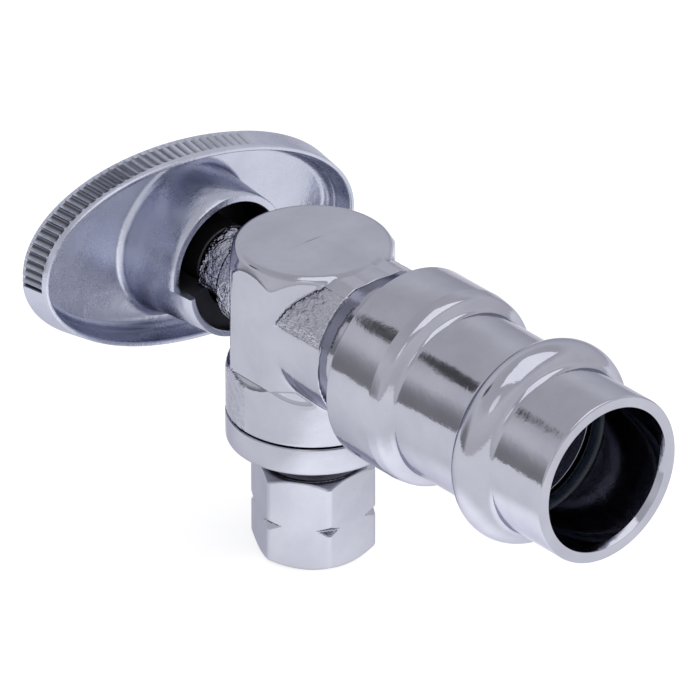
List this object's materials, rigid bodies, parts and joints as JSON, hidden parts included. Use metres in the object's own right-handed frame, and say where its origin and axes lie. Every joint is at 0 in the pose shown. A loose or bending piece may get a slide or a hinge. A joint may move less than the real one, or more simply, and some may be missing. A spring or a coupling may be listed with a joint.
{
  "type": "angle stop valve",
  "caption": "Quarter-turn angle stop valve with a press-fit tube inlet, a ball inside a flatted barrel, an oval turning handle and a compression tube outlet.",
  "frame": {"origin": "centre of the mouth of the press inlet, on the inlet's axis", "axes": "+Y out of the inlet mouth towards the wall pipe; -Z out of the compression outlet; +X square to both, along the handle's long way; the handle is at the -Y end"},
  "size_m": [0.0454, 0.0742, 0.0423],
  "materials": {
    "body_chrome": "bright chrome plating, satin where it is as cast",
    "handle_chrome": "bright chrome plating over a die-cast handle",
    "adapter_chrome": "bright chrome plating on turned brass",
    "nut_chrome": "bright chrome plating on a turned hexagon",
    "ball_chrome": "mirror-polished hard chrome",
    "bare_brass": "turned, unplated",
    "screw_steel": "plain machined steel",
    "black_rubber": "smooth moulded rubber",
    "blue_black_rubber": "smooth moulded rubber, faintly blue",
    "seat_plastic": "milky fluoroplastic"
  },
  "bodies": {
    "body": {"valve_body": "body_chrome", "press_o_ring": "blue_black_rubber", "upper_ball_seat": "seat_plastic", "lower_ball_seat": "seat_plastic", "upper_seat_cushion_ring": "black_rubber", "lower_seat_cushion_ring": "black_rubber", "stem_thrust_washer": "seat_plastic", "outlet_adapter": "adapter_chrome", "adapter_o_ring": "black_rubber"},
    "handle": {"handle": "handle_chrome", "stem": "bare_brass", "stem_inner_o_ring": "black_rubber", "stem_outer_o_ring": "black_rubber", "handle_screw": "screw_steel", "screw_lock_washer": "screw_steel"},
    "ball": {"ball": "ball_chrome"},
    "sleeve": {"compression_sleeve": "bare_brass"},
    "nut": {"compression_nut": "nut_chrome"}
  },
  "joints": [
    {"name": "handle_turn", "type": "hinge", "parent": "body", "child": "handle", "pos_m": [0, -0.06, 0], "axis": [0, 1, 0], "range_deg": [0, 90]},
    {"name": "ball_turn", "type": "hinge", "parent": "body", "child": "ball", "pos_m": [0, -0.0485, 0], "axis": [0, 1, 0], "range_deg": [0, 90]},
    {"name": "sleeve_slide", "type": "slide", "parent": "body", "child": "sleeve", "axis": [0, 0, -1], "range_m": [0, 0.00529]},
    {"name": "nut_turn", "type": "hinge", "parent": "sleeve", "child": "nut", "pos_m": [0, -0.0485, -0.024], "axis": [0, 0, -1], "range_deg": [0, 1800]}
  ],
  "couplings": [
    {"joint": "ball_turn", "follows": "handle_turn", "ratio": 1},
    {"joint": "nut_turn", "follows": "sleeve_slide", "rad_per_m": 5937.1}
  ]
}
